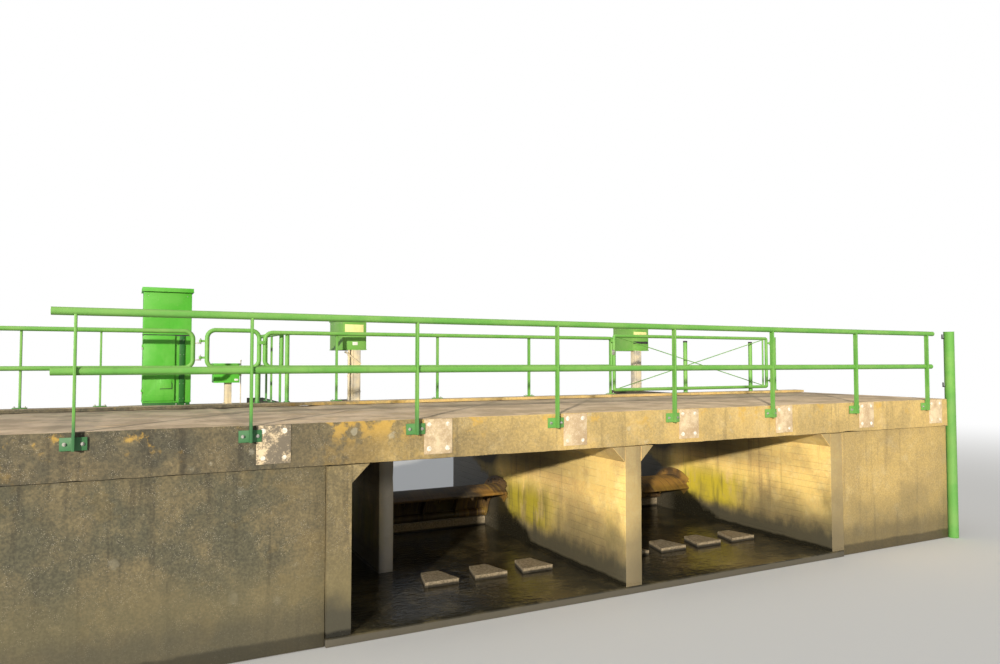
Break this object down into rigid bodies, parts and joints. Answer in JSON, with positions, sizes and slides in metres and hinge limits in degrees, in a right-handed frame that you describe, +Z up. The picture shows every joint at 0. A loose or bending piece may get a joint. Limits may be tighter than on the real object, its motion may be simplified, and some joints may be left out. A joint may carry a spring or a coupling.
{
  "type": "sluice gate",
  "caption": "Concrete sluice bridge with tilting flap gates under a railed deck, a divider wall, baffle blocks, hung tube gates and a green control cabinet.",
  "frame": {"origin": "centre of the overall footprint, at the underside of the floor slab", "axes": "+X along the deck, to the right seen from the lower water; +Y upstream; +Z up"},
  "size_m": [15.0482, 5.7879, 4.055],
  "materials": {
    "concrete": "weathered concrete with lichen and moss",
    "green_paint": "satin, faded",
    "dark_green_paint": "satin",
    "zinc": "galvanised, dull",
    "gate_steel": "rusty and wet"
  },
  "bodies": {
    "structure": {"floor_slab": "concrete", "deck_slab": "concrete", "rear_kerb": "concrete", "haunches": "concrete", "middle_pier": "concrete", "left_side_wall": "concrete", "right_side_wall": "concrete", "divider_wall": "concrete", "left_front_wing_wall": "concrete", "right_front_wing_wall": "concrete", "left_rear_wing_wall": "concrete", "right_rear_wing_wall": "concrete", "end_walls": "concrete", "service_plinth": "concrete", "gate_sills": "concrete", "left_baffle_blocks": "concrete", "right_baffle_blocks": "concrete", "front_top_rail": "green_paint", "front_mid_rail": "green_paint", "front_posts": "green_paint", "rear_left_panel": "green_paint", "rear_long_panel": "green_paint", "rear_posts": "green_paint", "guard_posts": "green_paint", "upstream_fence": "green_paint", "upstream_fence_posts": "green_paint", "field_hinge_post": "green_paint", "gate_hooks": "zinc", "round_gate_post": "green_paint", "round_post_hooks": "gate_steel", "cabinet_base": "dark_green_paint", "cabinet_body": "green_paint", "cabinet_roof": "green_paint", "cable_cover": "dark_green_paint", "cabinet_hinges": "zinc", "level_box": "green_paint", "level_box_column": "zinc", "drive_housings": "green_paint", "drive_columns": "zinc", "flap_pins": "zinc"},
    "left_flap": {"left_flap": "gate_steel"},
    "right_flap": {"right_flap": "gate_steel"},
    "service_gate": {"service_gate": "green_paint"},
    "field_gate": {"field_gate": "green_paint"},
    "cabinet_door": {"cabinet_door": "green_paint"}
  },
  "joints": [
    {"name": "left_flap_hinge", "type": "hinge", "parent": "structure", "child": "left_flap", "pos_m": [-0.67405, 1.36303, 0.33], "axis": [1, 0, 0], "range_deg": [-23, 32]},
    {"name": "right_flap_hinge", "type": "hinge", "parent": "structure", "child": "right_flap", "pos_m": [2.61095, 1.36303, 0.33], "axis": [1, 0, 0], "range_deg": [-35, 20]},
    {"name": "service_gate_hinge", "type": "hinge", "parent": "structure", "child": "service_gate", "pos_m": [-4.32505, 0.34903, 3.2], "axis": [0, 0, -1], "range_deg": [0, 100]},
    {"name": "field_gate_hinge", "type": "hinge", "parent": "structure", "child": "field_gate", "pos_m": [6.46295, 0.27083, 3], "axis": [0, 0, 1], "range_deg": [0, 45]},
    {"name": "cabinet_door_hinge", "type": "hinge", "parent": "structure", "child": "cabinet_door", "pos_m": [-5.03705, 0.86203, 2.9], "axis": [0, 0, -1], "range_deg": [0, 110]}
  ]
}
